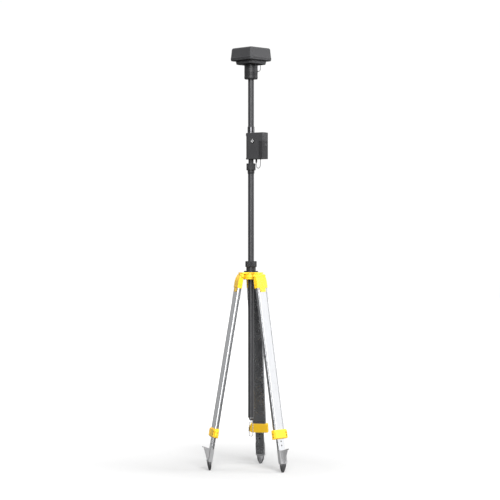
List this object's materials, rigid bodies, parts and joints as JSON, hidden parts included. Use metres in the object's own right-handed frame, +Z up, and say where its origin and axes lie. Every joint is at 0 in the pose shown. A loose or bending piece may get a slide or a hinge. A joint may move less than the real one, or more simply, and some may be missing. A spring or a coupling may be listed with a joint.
{
  "type": "gnss receiver on tripod pole",
  "caption": "Survey satellite receiver: square antenna head and battery box on a black two-piece pole, held in a yellow and silver telescopic tripod.",
  "frame": {"origin": "point on the ground under the pole's axis", "axes": "+Z up along the pole, -Y towards the front, where one corner of the square head points, and +X to the right seen from the front"},
  "size_m": [0.4466, 0.4394, 2.187],
  "materials": {
    "black_plastic": "fine moulded texture",
    "grey_plastic": "fine moulded texture",
    "pole_black": "satin lacquered carbon fibre",
    "rubber": "matt",
    "cable": "smooth light grey jacket",
    "yellow": "satin moulded nylon",
    "aluminium": "satin anodised extrusion",
    "cast_metal": "sand cast",
    "dark_steel": "blackened steel",
    "bright_steel": "bright",
    "brass": "turned",
    "circuit_board": "solder mask",
    "ceramic": "fired ceramic",
    "badge_white": "blank white badge",
    "dark_window": "smoked window"
  },
  "bodies": {
    "tripod": {"tripod_head": "yellow", "head_flange": "black_plastic", "pole_collet": "black_plastic", "rear_hinge_bolt": "dark_steel", "left_hinge_bolt": "dark_steel", "right_hinge_bolt": "dark_steel"},
    "lock_knob": {"lock_knob": "black_plastic"},
    "pole": {"lower_pole": "pole_black", "coupling_collar": "black_plastic", "pole_end_cap": "bright_steel", "hook_eye": "bright_steel"},
    "hook_ring": {"hook_ring": "bright_steel"},
    "coupling_nut": {"coupling_nut": "black_plastic"},
    "receiver": {"radome_cover": "black_plastic", "radome_gasket": "rubber", "antenna_base": "black_plastic", "base_plinth": "black_plastic", "ground_plane": "aluminium", "antenna_element": "ceramic", "receiver_board": "circuit_board", "neck_housing": "black_plastic", "head_cable": "cable", "pole_top_adapter": "brass", "upper_pole": "pole_black", "pole_sleeve": "black_plastic", "upper_pole_stub": "bright_steel", "box_front_shell": "grey_plastic", "box_rear_shell": "grey_plastic", "status_window": "dark_window", "badge": "badge_white", "control_board": "circuit_board", "cable_plug": "rubber", "box_cable": "cable"},
    "neck_ring": {"neck_ring": "black_plastic"},
    "power_button": {"power_button": "yellow"},
    "battery": {"battery_pack": "black_plastic", "battery_cap": "grey_plastic"},
    "battery_latch": {"battery_latch": "black_plastic"},
    "rear_upper": {"rear_leg_bracket": "yellow", "rear_upper_leg": "aluminium", "rear_leg_clamp": "yellow"},
    "rear_lower": {"rear_lower_leg": "aluminium", "rear_foot_shoe": "cast_metal", "rear_foot_tip": "dark_steel"},
    "rear_lever": {"rear_clamp_lever": "yellow"},
    "left_upper": {"left_leg_bracket": "yellow", "left_upper_leg": "aluminium", "left_leg_clamp": "yellow"},
    "left_lower": {"left_lower_leg": "aluminium", "left_foot_shoe": "cast_metal", "left_foot_tip": "dark_steel"},
    "left_lever": {"left_clamp_lever": "yellow"},
    "right_upper": {"right_leg_bracket": "yellow", "right_upper_leg": "aluminium", "right_leg_clamp": "yellow"},
    "right_lower": {"right_lower_leg": "aluminium", "right_foot_shoe": "cast_metal", "right_foot_tip": "dark_steel"},
    "right_lever": {"right_clamp_lever": "yellow"}
  },
  "joints": [
    {"name": "rear_leg_hinge", "type": "hinge", "parent": "tripod", "child": "rear_upper", "pos_m": [0.01283, 0.05451, 1.003], "axis": [0.9734, -0.2292, 0], "range_deg": [-9.6, 20]},
    {"name": "rear_leg_extension", "type": "slide", "parent": "rear_upper", "child": "rear_lower", "axis": [0.0382, 0.1623, -0.986], "range_m": [-0.04, 0.55]},
    {"name": "rear_clamp_lever_turn", "type": "hinge", "parent": "rear_upper", "child": "rear_lever", "pos_m": [0.00879, 0.21622, 0.19539], "axis": [-0.0382, -0.1623, 0.986], "range_deg": [0, 110]},
    {"name": "left_leg_hinge", "type": "hinge", "parent": "tripod", "child": "left_upper", "pos_m": [-0.05362, -0.01614, 1.003], "axis": [-0.2882, 0.9576, 0], "range_deg": [-9.6, 20]},
    {"name": "left_leg_extension", "type": "slide", "parent": "left_upper", "child": "left_lower", "axis": [-0.1597, -0.0481, -0.986], "range_m": [-0.04, 0.55]},
    {"name": "left_clamp_lever_turn", "type": "hinge", "parent": "left_upper", "child": "left_lever", "pos_m": [-0.19165, -0.1005, 0.19539], "axis": [0.1597, 0.0481, 0.986], "range_deg": [0, 110]},
    {"name": "right_leg_hinge", "type": "hinge", "parent": "tripod", "child": "right_upper", "pos_m": [0.04079, -0.03837, 1.003], "axis": [-0.6852, -0.7284, 0], "range_deg": [-9.6, 20]},
    {"name": "right_leg_extension", "type": "slide", "parent": "right_upper", "child": "right_lower", "axis": [0.1215, -0.1143, -0.986], "range_m": [-0.04, 0.55]},
    {"name": "right_clamp_lever_turn", "type": "hinge", "parent": "right_upper", "child": "right_lever", "pos_m": [0.18285, -0.11572, 0.19539], "axis": [-0.1215, 0.1143, 0.986], "range_deg": [0, 110]},
    {"name": "lock_knob_turn", "type": "hinge", "parent": "tripod", "child": "lock_knob", "pos_m": [0, 0, 1.064], "axis": [0, 0, 1], "range_deg": [0, 300]},
    {"name": "pole_slide", "type": "slide", "parent": "tripod", "child": "pole", "axis": [0, 0, 1], "range_m": [-0.14, 0.6]},
    {"name": "hook_ring_swing", "type": "hinge", "parent": "pole", "child": "hook_ring", "pos_m": [0, 0, 0.2445], "axis": [1, 0, 0], "range_deg": [-35, 35]},
    {"name": "coupling_nut_turn", "type": "hinge", "parent": "pole", "child": "coupling_nut", "pos_m": [0, 0, 1.569], "axis": [0, 0, 1], "range_deg": [0, 300]},
    {"name": "receiver_turn", "type": "hinge", "parent": "pole", "child": "receiver", "pos_m": [0, 0, 1.569], "axis": [0, 0, 1], "range_deg": [-180, 180]},
    {"name": "neck_ring_turn", "type": "hinge", "parent": "receiver", "child": "neck_ring", "pos_m": [0, 0, 2.045], "axis": [0, 0, 1], "range_deg": [0, 60]},
    {"name": "power_button_press", "type": "slide", "parent": "receiver", "child": "power_button", "axis": [-0.5736, -0.8192, 0], "range_m": [0, 0.0012], "stiffness_N_per_m": 400},
    {"name": "battery_slide", "type": "slide", "parent": "receiver", "child": "battery", "axis": [0.8192, -0.5736, 0], "range_m": [0, 0.07]},
    {"name": "battery_latch_press", "type": "slide", "parent": "battery", "child": "battery_latch", "axis": [-0.8192, 0.5736, 0], "range_m": [0, 0.002], "stiffness_N_per_m": 600}
  ]
}
